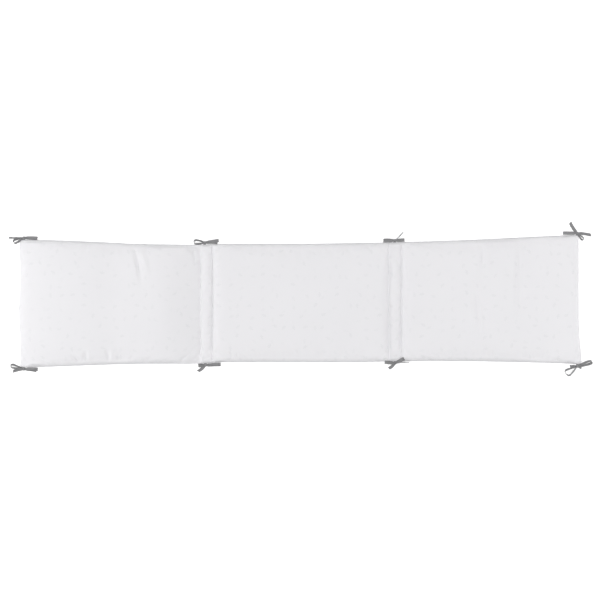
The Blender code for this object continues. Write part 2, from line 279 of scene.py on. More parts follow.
class BandSettings(bpy.types.PropertyGroup):
    """Sizes of the padded band."""

    seam_height: FloatProperty(
        name="Seam Height", description="Height of the seams above the floor", default=0.0065, unit="LENGTH")
    seam_thickness: FloatProperty(
        name="Seam Thickness", description="Thickness of the cloth where it is sewn through",
        default=0.0024, unit="LENGTH")
    rim_slope: FloatProperty(
        name="Rim Shoulder", description="Distance over which the top rises from the long edges",
        default=0.013, unit="LENGTH")
    dome_share: FloatProperty(
        name="Dome", description="Share of the loft that is a low dome over the whole panel",
        default=0.22, min=0, max=1)
    belly_drop: FloatProperty(
        name="Belly", description="How far the underside would hang below the seams",
        default=0.0080, unit="LENGTH")
    belly_slope: FloatProperty(
        name="Belly Shoulder", description="Distance over which the underside reaches the floor",
        default=0.060, unit="LENGTH")
    corner_radius: FloatProperty(
        name="Corner Radius", description="Rounding of the corners", default=0.009, unit="LENGTH")
    unevenness: FloatProperty(
        name="Unevenness", description="Slow rise and fall of the wadding", default=0.0009, unit="LENGTH")
    grid_step: FloatProperty(
        name="Grid Step", description="Mean distance between the cloth's grid lines",
        default=0.0040, unit="LENGTH")
    rim_waves: FloatProperty(
        name="Rim Waves", description="How far the sewn rim waves up and down", default=0.0006, unit="LENGTH")
    rim_lip: FloatProperty(
        name="Rim Lip", description="How far the two layers roll out beside the rim's seam",
        default=0.0006, unit="LENGTH")
    cloth_ease: FloatProperty(
        name="Cloth Ease", description="Share by which the cloth is longer than its seams",
        default=0.022, min=0, max=0.2)
    pressure: FloatProperty(
        name="Wadding Pressure", description="Pressure of the wadding on the cloth", default=4.0)
    settle_frames: IntProperty(
        name="Settling Frames", description="Steps of the cloth simulation", default=20)
    most_movement: FloatProperty(
        name="Most Movement", description="How far the cloth may settle from its pattern",
        default=0.005, unit="LENGTH")


class TieSettings(bpy.types.PropertyGroup):
    """Sizes of the ribbon ties."""

    width: FloatProperty(name="Ribbon Width", description="Width of the ribbon", default=0.010, unit="LENGTH")
    thickness: FloatProperty(
        name="Ribbon Thickness", description="Thickness of the ribbon", default=0.0007, unit="LENGTH")
    layer_gap: FloatProperty(
        name="Layer Gap", description="Half the distance between a loop's layers at the knot",
        default=0.0009, unit="LENGTH")
    cup: FloatProperty(
        name="Cup", description="How far the ribbon curves across its width", default=0.0007, unit="LENGTH")
    pinch: FloatProperty(
        name="Pinch", description="Share of its width that the ribbon loses in the knot",
        default=0.42, min=0, max=0.8)
    pinch_reach: FloatProperty(
        name="Pinch Reach", description="Distance from the knot at which the ribbon lies wide",
        default=0.013, unit="LENGTH")
    gathers: FloatProperty(
        name="Gathers", description="Height of the folds where the knot gathers the ribbon",
        default=0.0011, unit="LENGTH")
    wrap_width: FloatProperty(
        name="Wrap Width", description="Width of the ribbon wound round the knot",
        default=0.0076, unit="LENGTH")
    wrap_radius: FloatProperty(
        name="Wrap Radius", description="Radius of the ribbon wound round the knot",
        default=0.0042, unit="LENGTH")
    knot_height: FloatProperty(
        name="Knot Height", description="Height of each knot's middle", default=0.0062, unit="LENGTH")
    floor_gap: FloatProperty(
        name="Floor Gap", description="Least height of a strand above the floor",
        default=0.0004, unit="LENGTH")


class StitchSettings(bpy.types.PropertyGroup):
    """Sizes of the stitches through the band."""

    pitch: FloatProperty(
        name="Stitch Pitch", description="Distance from one stitch to the next",
        default=0.0036, unit="LENGTH")
    length: FloatProperty(
        name="Stitch Length", description="Length of a stitch", default=0.0030, unit="LENGTH")
    thickness: FloatProperty(
        name="Thread Thickness", description="Thickness of the thread", default=0.0006, unit="LENGTH")
    margin: FloatProperty(
        name="Margin", description="Distance of the end stitches from the rim", default=0.003, unit="LENGTH")


class FinishSettings(bpy.types.PropertyGroup):
    """Colours of the cloth, its print, the thread and the ribbon."""

    cover: FloatVectorProperty(
        name="Cover", description="Colour of the cover",
        subtype="COLOR", size=4, default=(0.841, 0.834, 0.853, 1))
    cover_shade: FloatVectorProperty(
        name="Cover Shade", description="Colour of the cover where it is a little darker",
        subtype="COLOR", size=4, default=(0.808, 0.804, 0.826, 1))
    # Painted shade: a darker colour blended into the cover along its rim and rows of stitching, where shade
    # falls at the seams.
    cover_seam: FloatVectorProperty(
        name="Painted Seam Shade", description="Colour of the cover in its seams",
        subtype="COLOR", size=4, default=(0.690, 0.687, 0.708, 1))
    print_tint: FloatVectorProperty(
        name="Print", description="Colour of the sprig print",
        subtype="COLOR", size=4, default=(0.768, 0.768, 0.786, 1))
    print_spacing: FloatProperty(
        name="Print Spacing", description="Mean distance from one sprig to the next",
        default=0.034, unit="LENGTH")
    thread: FloatVectorProperty(
        name="Thread", description="Colour of the stitching",
        subtype="COLOR", size=4, default=(0.79, 0.79, 0.80, 1))
    ribbon: FloatVectorProperty(
        name="Ribbon", description="Colour of the ribbon",
        subtype="COLOR", size=4, default=(0.250, 0.250, 0.256, 1))
    ribbon_light: FloatVectorProperty(
        name="Ribbon Light", description="Colour of the ribbon's edges and worn places",
        subtype="COLOR", size=4, default=(0.300, 0.300, 0.307, 1))
    # Painted shade: the darker colour laid between the ribbon's ribs, where shade falls in the grooves.
    ribbon_dark: FloatVectorProperty(
        name="Ribbon Groove Shade", description="Colour between the ribbon's ribs",
        subtype="COLOR", size=4, default=(0.170, 0.170, 0.175, 1))


class StageSettings(bpy.types.PropertyGroup):
    """The floor, the lights and the camera."""

    floor: FloatVectorProperty(
        name="Floor", description="Colour of the floor",
        subtype="COLOR", size=4, default=(0.90, 0.90, 0.90, 1))
    floor_glow: FloatProperty(name="Floor Glow", description="How brightly the floor glows", default=0.30)
    camera_height: FloatProperty(
        name="Camera Height", description="Height of the camera above the floor",
        default=4.584, unit="LENGTH")
    sky: FloatProperty(
        name="Surrounding Light", description="Strength of the light from all round", default=0.20)
    top_lamp: FloatProperty(
        name="Top Lamp", description="Power of the wide light overhead", default=203, unit="POWER")
    left_lamp: FloatProperty(
        name="Left Lamp", description="Power of the low light near the left end", default=12.8, unit="POWER")
    right_lamp: FloatProperty(
        name="Right Lamp", description="Power of the low light near the right end", default=10, unit="POWER")
    key_light: FloatProperty(
        name="Key Light", description="Strength of the soft low light from the left", default=0.30)
    key_height: FloatProperty(
        name="Key Height", description="Angle of the key light above the floor",
        default=math.radians(24), subtype="ANGLE")
    key_spread: FloatProperty(
        name="Key Spread", description="Angle that the key light spreads over",
        default=math.radians(30), subtype="ANGLE")


def smooth_step(share):
    """Rises from 0 to 1 with a soft start and a soft end."""
    share = np.clip(share, 0.0, 1.0)
    return share * share * (3 - 2 * share)


def edge_reach(along, reaches):
    """The distance of a long edge from the middle line, on a smooth curve through its table."""
    places, reaches = np.array(EDGE_ALONG), np.array(reaches)
    row = np.clip(np.searchsorted(places, along, side="left") - 1, 0, len(places) - 2)
    order = np.arange(len(places))
    before, after = np.maximum(order - 1, 0), np.minimum(order + 1, len(places) - 1)
    slopes = (reaches[after] - reaches[before]) / (places[after] - places[before])
    gap = places[row + 1] - places[row]
    share = np.clip((along - places[row]) / gap, 0.0, 1.0)
    blend = smooth_step(share)
    line = reaches[row] * (1 - blend) + reaches[row + 1] * blend
    tangents = slopes[row] * (1 - share) ** 2 * share - slopes[row + 1] * share ** 2 * (1 - share)
    return line + tangents * gap


def edge_y(along, side):
    """Where a long edge lies at one place along the band."""
    reaches = EDGE_UPPER if side == UPPER else EDGE_LOWER
    return side * float(edge_reach(np.array([along]), reaches)[0])


def half_width(along):
    return (edge_reach(along, EDGE_UPPER) + edge_reach(along, EDGE_LOWER)) / 2


def rim_distance(along, across):
    """How far in from the nearer long edge a place is."""
    return half_width(along) * (1 - np.abs(across))


def quarter_round(distance, slope):
    """The share of the full crown this far in from a seam, 1 from slope inwards."""
    share = np.clip(distance / slope, 0.0, 1.0)
    return np.sqrt(1 - (1 - share) ** 2)


def section_values(along):
    """The section at each place, with an array in each field, and the distance from its left seam."""
    index = np.clip(np.searchsorted(SEAMS, along, side="right") - 1, 0, len(SECTIONS) - 1)
    return Section(*np.array(SECTIONS)[index].T), along - SEAMS[index]


def fall(distance, share, run):
    """The share of the loft that is left this far in from a seam, where a panel thins toward it."""
    return 1 - share * np.clip(1 - distance / run, 0, 1) ** FALL_CURVE


def crown(along, across, band):
    """How far the top stands above the seams: round shoulders, the falls, and a low dome over it all."""
    section, from_left = section_values(along)
    from_right = section.width - from_left
    shoulders = quarter_round(from_left, section.left_slope) * quarter_round(from_right, section.right_slope)
    shoulders = shoulders * quarter_round(rim_distance(along, across), band.rim_slope)
    shoulders = shoulders * fall(from_left, section.left_fall, section.left_run)
    shoulders = shoulders * fall(from_right, section.right_fall, section.right_run)
    dome = np.clip(np.sin(np.pi * from_left / section.width) * (1 - across ** 2), 0, 1)
    return section.plump * shoulders * (1 - band.dome_share + band.dome_share * dome)


def belly(along, across, band):
    """How far the underside hangs below the seams, before the floor flattens it."""
    section, from_left = section_values(along)
    slope = np.minimum(band.belly_slope, section.width / 2)
    lengthwise = quarter_round(from_left, slope) * quarter_round(section.width - from_left, slope)
    return band.belly_drop * lengthwise * quarter_round(rim_distance(along, across), band.belly_slope)


def seam_fade(along, across, band):
    """0 at a seam, and 1 from a little way inside a section."""
    section, from_left = section_values(along)
    nearest = np.minimum(from_left, section.width - from_left)
    return smooth_step(nearest / band.rim_slope) * smooth_step(rim_distance(along, across) / band.rim_slope)


def crease_depth(x, y):
    """The depth of all the creases at a place: each is a soft trough that fades out along its line."""
    depth = np.zeros_like(x)
    for crease in CREASES:
        heading = math.radians(crease.heading)
        dx, dy = x - crease.x, y - crease.y
        lengthwise = dx * math.cos(heading) + dy * math.sin(heading)
        sideways = dy * math.cos(heading) - dx * math.sin(heading)
        fade = 1 - smooth_step(np.abs(lengthwise) / (crease.length / 2))
        depth = depth + crease.depth * fade * np.exp(-((sideways / (crease.width / 2)) ** 2))
    return depth


def unevenness(x, y, band):
    """The slow rise and fall of the wadding."""
    waves = sum(np.sin(per_x * x + per_y * y + start) for per_x, per_y, start in WADDING_WAVES)
    return band.unevenness * waves / len(WADDING_WAVES)


def place_on_band(along, across, band):
    """(x, y) of grid points, with the corners rounded and the short ends swelling out."""
    middle = (edge_reach(along, EDGE_UPPER) - edge_reach(along, EDGE_LOWER)) / 2
    insets = {LEFT: along - SEAMS[0], RIGHT: SEAMS[-1] - along}
    inset_x, inset_y = np.minimum(insets[LEFT], insets[RIGHT]), rim_distance(along, across)
    radius = band.corner_radius
    from_x, from_y = np.clip(radius - inset_x, 0, None), np.clip(radius - inset_y, 0, None)
    length = np.maximum(np.hypot(from_x, from_y), SAME_PLACE)
    cornered = (from_x > 0) & (from_y > 0)
    shrink = np.maximum(from_x, from_y) / length
    moved_x = np.where(cornered, radius - from_x * shrink, inset_x)
    moved_y = np.where(cornered, radius - from_y * shrink, inset_y)
    x = along + np.where(along < 0, 1, -1) * (moved_x - inset_x)
    for swell in SWELLS:
        bulge = np.exp(-(((across - swell.across) / swell.span) ** 2))
        x = x + swell.end * swell.out * bulge * (1 - smooth_step(insets[swell.end] / SWELL_REACH))
    y = middle + np.copysign(half_width(along) - moved_y, across)
    return x, y


def crowded(steps, crowding):
    """Shares of a length in this many steps, closer together toward both its ends."""
    share = np.arange(1, steps + 1) / steps
    return share - crowding * np.sin(2 * np.pi * share) / (2 * np.pi)


def grid_places(band):
    """The cloth grid's places along and across the band, closer together beside each seam."""
    columns = [SEAMS[0]]
    for start, section in zip(SEAMS, SECTIONS):
        steps = max(round(section.width / band.grid_step), FEWEST_COLUMNS)
        columns.extend(start + section.width * crowded(steps, COLUMN_CROWDING))
    rows = crowded(round(ROW_SHARE * 2 * max(EDGE_LOWER) / band.grid_step), ROW_CROWDING)
    return np.array(columns), 2 * np.concatenate([[0], rows]) - 1


def add_object(name, data):
    obj = bpy.data.objects.new(name, data)
    bpy.context.scene.collection.objects.link(obj)
    return obj


def finished_mesh(shape, name):
    """The shape as a mesh, once nothing more is added to it."""
    mesh = bpy.data.meshes.new(name)
    shape.to_mesh(mesh)
    shape.free()
    return mesh


def rim_waves(x, y, band):
    """The small rise and fall of the rim, where its seam gathers the cloth."""
    chance = np.random.default_rng(RIM_SEED)
    total = np.zeros_like(x)
    for length in RIM_WAVE_LENGTHS:
        total += np.sin(2 * np.pi * (x + RIM_WAVE_SKEW * y) / length + chance.uniform(0, 2 * np.pi))
    return band.rim_waves * total / RIM_WAVE_PEAK


def cover_mesh(band):
    """The cover as two layers of a fine grid, and whether a seam or the floor holds each point."""
    columns, rows = grid_places(band)
    shape = bmesh.new()
    bmesh.ops.create_grid(shape, x_segments=len(columns) - 1, y_segments=len(rows) - 1, size=1)
    count = len(shape.verts)
    bmesh.ops.extrude_face_region(shape, geom=shape.faces[:], use_keep_orig=True)
    shape.verts.index_update()
    flat = np.array([vert.co for vert in shape.verts])
    along = columns[np.rint((flat[:, 0] + 1) / 2 * (len(columns) - 1)).astype(int)]
    across = rows[np.rint((flat[:, 1] + 1) / 2 * (len(rows) - 1)).astype(int)]
    x, y = place_on_band(along, across, band)
    upper = np.arange(len(flat)) < count
    at_edge = np.abs(across) > 1 - SAME_PLACE
    at_seam = np.abs(along[:, None] - SEAMS) < SAME_PLACE
    relief = (unevenness(x, y, band) - crease_depth(x, y)) * seam_fade(along, across, band)
    top = band.seam_height + band.seam_thickness / 2 + crown(along, across, band) + relief
    bottom = np.maximum(band.seam_height - band.seam_thickness / 2 - belly(along, across, band), 0)
    points = np.stack([x, y, np.where(upper, top, bottom)], axis=1)
    rim = at_edge | at_seam[:, 0] | at_seam[:, -1]
    points[rim, 2] += rim_waves(x[rim], y[rim], band)
    for vert, point in zip(shape.verts, points):
        vert.co = point
    bmesh.ops.recalc_face_normals(shape, faces=shape.faces)
    mesh = finished_mesh(shape, "padded_cover")
    sewn = at_edge | at_seam.any(axis=1)
    # The sewn attribute weights painted shade: full along the long edges, and a smaller share along the short
    # ends and the rows of stitching.
    shade = np.where(at_edge, 1.0, np.where(sewn, ROW_PAINTED_SHADE, 0.0))
    mesh.attributes.new("sewn", "FLOAT", "POINT").data.foreach_set("value", shade.astype(np.float32))
    resting = ~upper & (points[:, 2] < HELD_BELOW)
    return mesh, sewn | resting


def settle_cloth(obj, held, band):
    """Lets the cloth puff up and pucker between its seams, with a cap on how far each point moves."""
    start = np.array([vert.co for vert in obj.data.vertices])
    group = obj.vertex_groups.new(name="sewn")
    group.add(np.flatnonzero(held).tolist(), 1.0, "REPLACE")
    cloth = obj.modifiers.new("cloth", "CLOTH")
    cloth.settings.vertex_group_mass = "sewn"
    for name, value in CLOTH.items():
        setattr(cloth.settings, name, value)
    cloth.settings.use_pressure = True
    cloth.settings.uniform_pressure_force = band.pressure
    cloth.settings.effector_weights.gravity = 0
    cloth.settings.shrink_min = -band.cloth_ease
    cloth.point_cache.frame_start = 1
    cloth.point_cache.frame_end = band.settle_frames
    scene = bpy.context.scene
    for step in range(1, band.settle_frames + 1):
        scene.frame_set(step)
    evaluated = obj.evaluated_get(bpy.context.evaluated_depsgraph_get())
    settled = np.array([vert.co for vert in evaluated.data.vertices])
    obj.modifiers.clear()
    obj.vertex_groups.clear()
    scene.frame_set(1)
    moved = settled - start
    length = np.linalg.norm(moved, axis=1, keepdims=True)
    points = start + moved / (1 + length / band.most_movement)
    points[:, 2] = np.maximum(points[:, 2], 0)
    obj.data.vertices.foreach_set("co", points.ravel())
    obj.data.update()


def roll_rim(obj, band):
    """Rounds the rim into two lips of cloth, with the seam drawn in between them."""
    shape = bmesh.new()
    shape.from_mesh(obj.data)
    half = len(shape.verts) // 2
    upright = [edge for edge in shape.edges if (edge.verts[0].index < half) != (edge.verts[1].index < half)]
    spans = {}
    for edge in upright:
        low, high = sorted(edge.verts, key=lambda vert: vert.co.z)
        spans[edge.verts[0].co.to_tuple(6)[:2]] = (low.co.z, high.co.z)
    bmesh.ops.subdivide_edges(shape, edges=upright, cuts=LIP_RINGS, use_grid_fill=True)
    shape.normal_update()
    shape.verts.index_update()
    for vert in shape.verts:
        if vert.index >= 2 * half:
            low, high = spans[vert.co.to_tuple(6)[:2]]
            ring = round((vert.co.z - low) / (high - low) * (LIP_RINGS + 1))
            vert.co += vert.normal * (band.rim_lip * (-SEAM_DRAW if ring == MIDDLE_RING else 1))
    shape.to_mesh(obj.data)
    shape.free()


class BUMPER_OT_padded_band(bpy.types.Operator):
    """Make the stuffed cover of the band, with its panels, hinge strips and sewn channels"""

    bl_idname = "bumper.padded_band"
    bl_label = "Padded Band"

    def execute(self, context):
        band = context.scene.bumper_band
        mesh, held = cover_mesh(band)
        cover = add_object("padded_cover", mesh)
        settle_cloth(cover, held, band)
        roll_rim(cover, band)
        mesh.shade_smooth()
        mesh.materials.append(cover_cotton(context.scene.bumper_finish))
        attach(cover, "root")
        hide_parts("padded_band")
        return {"FINISHED"}


def strand_ways(heading, lean):
    """(forward, the way a loop opens, the ribbon's width) for a strand that leans over by lean."""
    turn, tip = math.radians(heading), math.radians(lean)
    forward = np.array([math.cos(turn), math.sin(turn), 0])
    side = np.array([-math.sin(turn), math.cos(turn), 0])
    return forward, side * math.cos(tip) + UP * math.sin(tip), UP * math.cos(tip) - side * math.sin(tip)


def resting_height(half_gap, lean, tie):
    """How high the middle of a strand is where its lowest edge lies on the floor."""
    tip = math.radians(lean)
    sideways = half_gap + tie.thickness / 2 + tie.cup
    return tie.width / 2 * math.cos(tip) + sideways * math.sin(tip) + tie.floor_gap


def loop_route(loop, tie):
    """Points from the knot's middle out along one layer of a loop, and back along the other."""
    forward, opening, _ = strand_ways(loop.heading, loop.lean)
    share = np.linspace(0, 1, LOOP_PLACES)
    turn = 2 * np.pi * share
    swing = np.sin(turn) * (1 - loop.full * np.cos(turn))
    apart = loop.gap / 2 * swing + tie.layer_gap * np.cos(turn / 2)
    rest = max(resting_height(apart.max(), loop.lean, tie), loop.lift)
    out = np.sin(np.pi * share)
    rise = out * (2 - out) if loop.lift else smooth_step(out / LOOP_SETTLE)
    height = tie.knot_height + (rest - tie.knot_height) * rise
    return forward * (loop.reach * out)[:, None] + opening * apart[:, None] + UP * height[:, None]


def tail_route(tail, tie):
    """Points from the knot's middle out to a cut end, down to the floor and a little to one side."""
    forward, _, _ = strand_ways(tail.heading, tail.lean)
    side = np.array([-forward[1], forward[0], 0])
    share = np.linspace(0, 1, TAIL_PLACES)
    rest = resting_height(0, tail.lean, tie)
    height = tie.knot_height + (rest - tie.knot_height) * smooth_step(share / TAIL_SETTLE)
    sideways = tail.bend * np.sin(np.pi * share)
    return forward * (tail.reach * share)[:, None] + side * sideways[:, None] + UP * height[:, None]


def route_length(route):
    return float(np.linalg.norm(np.diff(route, axis=0), axis=1).sum())


def strand_surface(route, heading, lean, tie, chance):
    """The ribbon laid along a route: wide and a little cupped, and gathered into folds at the knot."""
    _, opening, width_way = strand_ways(heading, lean)
    tangent = np.gradient(route, axis=0)
    tangent /= np.linalg.norm(tangent, axis=1, keepdims=True)
    normal = np.cross(tangent, width_way)
    away = np.linalg.norm(route[:, :2], axis=1)
    pinch = 1 - smooth_step(away / tie.pinch_reach)
    across = np.linspace(-1, 1, RIBBON_COLUMNS)
    wide = tie.width / 2 * (1 - tie.pinch * pinch)
    folds = tie.gathers * np.cos(GATHER_TURN * across + chance.uniform(-0.5, 0.5))
    flutter = FLUTTER * np.sin(away / FLUTTER_LENGTH + chance.uniform(0, 6))
    cupped = tie.cup * (1 - across ** 2)[None, :] + flutter[:, None] * across[None, :]
    surface = route[:, None, :] + width_way * (wide[:, None] * across[None, :])[:, :, None]
    surface = surface + normal[:, None, :] * (cupped * (1 - pinch)[:, None])[:, :, None]
    return surface + opening * (folds[None, :] * pinch[:, None])[:, :, None]


def cut_end(surface, forward, slant):
    """Cuts the last part of a tail at a slant."""
    ramp = smooth_step((np.linspace(0, 1, len(surface)) - CUT_FROM) / (1 - CUT_FROM))
    across = np.linspace(-1, 1, surface.shape[1])
    return surface + forward * (slant * ramp[:, None] * across[None, :])[:, :, None]


def wrap_surface(heading, tie):
    """The ribbon wound a little over once round the knot, its edges drawn in over the strands."""
    axis, side, _ = strand_ways(heading, 0)
    turn = np.linspace(WRAP_START, WRAP_END, WRAP_PLACES)
    radius = tie.wrap_radius + tie.thickness * WRAP_CLIMB * np.linspace(0, 1, len(turn))
    square = WRAP_SQUARENESS
    corner = (np.abs(np.cos(turn)) ** square + np.abs(np.sin(turn)) ** square) ** (-1 / square)
    ring = side * np.cos(turn)[:, None] + UP * np.sin(turn)[:, None]
    across = np.linspace(-1, 1, WRAP_COLUMNS)
    drawn = WRAP_CREASES * np.cos(4 * np.pi * across) - WRAP_DRAW * np.abs(across) ** WRAP_DRAW_CURVE
    reach = (radius * corner)[:, None] + drawn[None, :]
    tilt = WRAP_TILT * np.sin(turn)
    along = tie.wrap_width / 2 * across[None, :] + tilt[:, None]
    return tie.knot_height * UP + ring[:, None, :] * reach[:, :, None] + axis * along[:, :, None]


def root_surfaces(place, tie, band):
    """The two layers of ribbon from inside the rim seam to the knot."""
    share = np.linspace(0, 1, ROOT_PLACES)
    start = -place.side * (place.out + ROOT_TUCK)
    across = np.linspace(-1, 1, RIBBON_COLUMNS)
    pinch = smooth_step(share)
    height = band.seam_height + (tie.knot_height - band.seam_height) * share
    route = np.stack([0 * share, start * (1 - share), height], axis=1)
    sideways = (tie.width / 2 * (1 - tie.pinch * pinch))[:, None] * across
    folds = tie.gathers * np.cos(GATHER_TURN * across) * pinch[:, None]
    surfaces = []
    for layer in (-1, 1):
        raised = layer * ROOT_SPACING * tie.thickness + folds
        surfaces.append(route[:, None, :] + np.stack([sideways, 0 * sideways, raised], axis=2))
    return surfaces


def add_strip(shape, surface):
    """Adds a strip over a grid of points, and gives its length. U is in widths along it, and V from 0 to 1."""
    uvs = shape.loops.layers.uv.verify()
    rows, columns = surface.shape[:2]
    length, width = route_length(surface[:, columns // 2]), route_length(surface[rows // 2])
    made = bmesh.ops.create_grid(shape, x_segments=rows - 1, y_segments=columns - 1, size=1, calc_uvs=True)
    for face in {face for vert in made["verts"] for face in vert.link_faces}:
        for corner in face.loops:
            corner[uvs].uv.x *= length / width
    for vert in made["verts"]:
        row, column = round((vert.co.x + 1) / 2 * (rows - 1)), round((vert.co.y + 1) / 2 * (columns - 1))
        vert.co = surface[row, column]
    return length


def keep_modifiers(obj):
    """Applies the modifiers, and keeps the sharp corners."""
    made = bpy.data.meshes.new_from_object(obj.evaluated_get(bpy.context.evaluated_depsgraph_get()))
    obj.modifiers.clear()
    obj.data = made
    made.shade_smooth()
    made.set_sharp_from_angle(angle=SHARP_ANGLE)


def make_tie(place, tie, band, number):
    """One bow, and the length of ribbon in it."""
    chance = np.random.default_rng(TIE_SEED + number)
    shape = bmesh.new()
    length = 0.0
    for strand in place.strands:
        route = loop_route(strand, tie) if isinstance(strand, Loop) else tail_route(strand, tie)
        surface = strand_surface(route, strand.heading, strand.lean, tie, chance)
        if isinstance(strand, Tail):
            forward, _, _ = strand_ways(strand.heading, 0)
            surface = cut_end(surface, forward, chance.uniform(-CUT_SLANT, CUT_SLANT))
        add_strip(shape, surface)
        length += route_length(route)
    for surface in (wrap_surface(place.strands[0].heading, tie), *root_surfaces(place, tie, band)):
        length += add_strip(shape, surface)
    name = place.name + "_ribbon"
    bow = add_object(name, finished_mesh(shape, name))
    bow.location = (place.along, edge_y(place.along, place.side) + place.side * place.out, 0)
    thick = bow.modifiers.new("thickness", "SOLIDIFY")
    thick.thickness = tie.thickness
    thick.offset = 0
    bpy.context.view_layer.update()
    keep_modifiers(bow)
    return bow, length


class BUMPER_OT_ribbon_ties(bpy.types.Operator):
    """Make the eight ribbon ties, each sewn to the rim and tied in a bow"""

    bl_idname = "bumper.ribbon_ties"
    bl_label = "Ribbon Ties"

    def execute(self, context):
        scene = context.scene
        cloth = tie_ribbon(scene.bumper_finish)
        for number, place in enumerate(TIES):
            bow, length = make_tie(place, scene.bumper_tie, scene.bumper_band, number)
            bow.data.materials.append(cloth)
            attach(bow, "root")
            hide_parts(place.name)
        return {"FINISHED"}


def stitch_mesh(stitch):
    """One stitch of thread, a small rounded bar along Y."""
    shape = bmesh.new()
    bmesh.ops.create_uvsphere(shape, u_segments=8, v_segments=6, radius=0.5)
    upended = Matrix.Rotation(math.radians(90), 3, "X")
    bmesh.ops.rotate(shape, verts=shape.verts, cent=(0, 0, 0), matrix=upended)
    bmesh.ops.scale(shape, verts=shape.verts, vec=(stitch.thickness, stitch.length, stitch.thickness))
    return finished_mesh(shape, "stitch")


class BUMPER_OT_stitching(bpy.types.Operator):
    """Sew the four rows of stitches that go right through the band"""

    bl_idname = "bumper.stitching"
    bl_label = "Stitching"

    def execute(self, context):
        band, stitch = context.scene.bumper_band, context.scene.bumper_stitch
        cover = bpy.data.objects["padded_cover"]
        cover_shape = BVHTree.FromObject(cover, context.evaluated_depsgraph_get())
        shape, one = bmesh.new(), stitch_mesh(stitch)
        for seam in STITCH_ROWS:
            upper, lower = edge_y(seam, UPPER), edge_y(seam, LOWER)
            count = int((upper - lower - 2 * stitch.margin) / stitch.pitch)
            for y in np.linspace(lower + stitch.margin, upper - stitch.margin, count):
                for side in (1, -1):
                    above = Vector((seam, y, side * DROP_HEIGHT))
                    hit, _, _, _ = cover_shape.ray_cast(above, Vector((0, 0, -side)))
                    if hit is None:
                        raise RuntimeError("a stitch misses the cover")
                    one.transform(Matrix.Translation(hit))
                    shape.from_mesh(one)
                    one.transform(Matrix.Translation(-hit))
        mesh = finished_mesh(shape, "hinge_stitches")
        bpy.data.meshes.remove(one)
        mesh.shade_smooth()
        mesh.materials.append(cotton_thread(context.scene.bumper_finish))
        rows = add_object("hinge_stitches", mesh)
        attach(rows, "root")
        return {"FINISHED"}


def new_material(name):
    """(material, its node tree, its shader)"""
    material = bpy.data.materials.new(name)
    material.use_nodes = True
    return material, material.node_tree, material.node_tree.nodes["Principled BSDF"]


def add_node(tree, kind, inputs=(), **settings):
    """A node with its settings. Each input is linked to a socket, or set to a value."""
    node = tree.nodes.new("ShaderNode" + kind)
    for name, value in settings.items():
        setattr(node, name, value)
    for slot, value in dict(inputs).items():
        if isinstance(value, bpy.types.NodeSocket):
            tree.links.new(value, node.inputs[slot])
        else:
            node.inputs[slot].default_value = value
    return node


def add_math(tree, operation, *values):
    return add_node(tree, "Math", enumerate(values), operation=operation).outputs[0]


def map_range(tree, value, span, to=(0.0, 1.0), way="LINEAR"):
    inputs = {"Value": value, "From Min": span[0], "From Max": span[1], "To Min": to[0], "To Max": to[1]}
    return add_node(tree, "MapRange", inputs, interpolation_type=way).outputs["Result"]


def noise(tree, vector, scale, detail=2.0):
    return add_node(tree, "TexNoise", {"Vector": vector, "Scale": scale, "Detail": detail}).outputs["Fac"]


def blend_colours(tree, share, first, second):
    inputs = {MIX_SHARE: share, MIX_FIRST: first, MIX_SECOND: second}
    return add_node(tree, "Mix", inputs, data_type="RGBA").outputs[MIX_RESULT]


def add_bump(tree, shader, height, depth):
    bump = add_node(tree, "Bump", {"Height": height, "Distance": depth})
    tree.links.new(bump.outputs["Normal"], shader.inputs["Normal"])


def threads(tree, vector):
    """The height of a plain weave: threads both ways that pass over and under each other."""
    parts = add_node(tree, "SeparateXYZ", {0: vector})
    waves = []
    for axis in (0, 1):
        turn = add_math(tree, "MULTIPLY", parts.outputs[axis], 2 * math.pi / WEAVE_PITCH)
        half_turn = add_math(tree, "MULTIPLY", turn, 0.5)
        waves.append((add_math(tree, "SINE", turn), add_math(tree, "SINE", half_turn)))
    (warp, warp_turn), (weft, weft_turn) = waves
    over = add_math(tree, "MULTIPLY", warp_turn, weft_turn)
    return add_math(tree, "ADD", add_math(tree, "MULTIPLY", over, 0.5), add_math(tree, "ADD", warp, weft))


def sprig_print(tree, vector, spacing):
    """(how much print is at a place, its sprig's chance value), with each sprig turned its own way."""
    spread = {"Vector": vector, "Scale": 1 / spacing, "Randomness": SPRIG_LOOSENESS}
    cells = add_node(tree, "TexVoronoi", spread, voronoi_dimensions="2D")
    middle = add_node(tree, "VectorMath", {0: vector, 1: cells.outputs["Position"]}, operation="SUBTRACT")
    chance = add_node(tree, "SeparateColor", {0: cells.outputs["Color"]})
    turn = add_math(tree, "MULTIPLY", chance.outputs[0], 2 * math.pi)
    facing = {"Vector": middle.outputs[0], "Angle": turn}
    turned = add_node(tree, "VectorRotate", facing, rotation_type="Z_AXIS")
    ink = None
    for leaf in SPRIG_LEAVES:
        local = add_node(tree, "Mapping", {
            "Vector": turned.outputs[0],
            "Location": (leaf.x, leaf.y, 0),
            "Rotation": (0, 0, math.radians(leaf.turn)),
            "Scale": (leaf.length / 2, leaf.width / 2, 1),
        }, vector_type="TEXTURE")
        flat = add_node(tree, "VectorMath", {0: local.outputs[0], 1: (1, 1, 0)}, operation="MULTIPLY")
        size = add_node(tree, "VectorMath", {0: flat.outputs[0]}, operation="LENGTH")
        mask = map_range(tree, size.outputs["Value"], LEAF_OUTLINE, (1.0, 0.0))
        ink = mask if ink is None else add_math(tree, "MAXIMUM", ink, mask)
    return ink, chance.outputs[1]


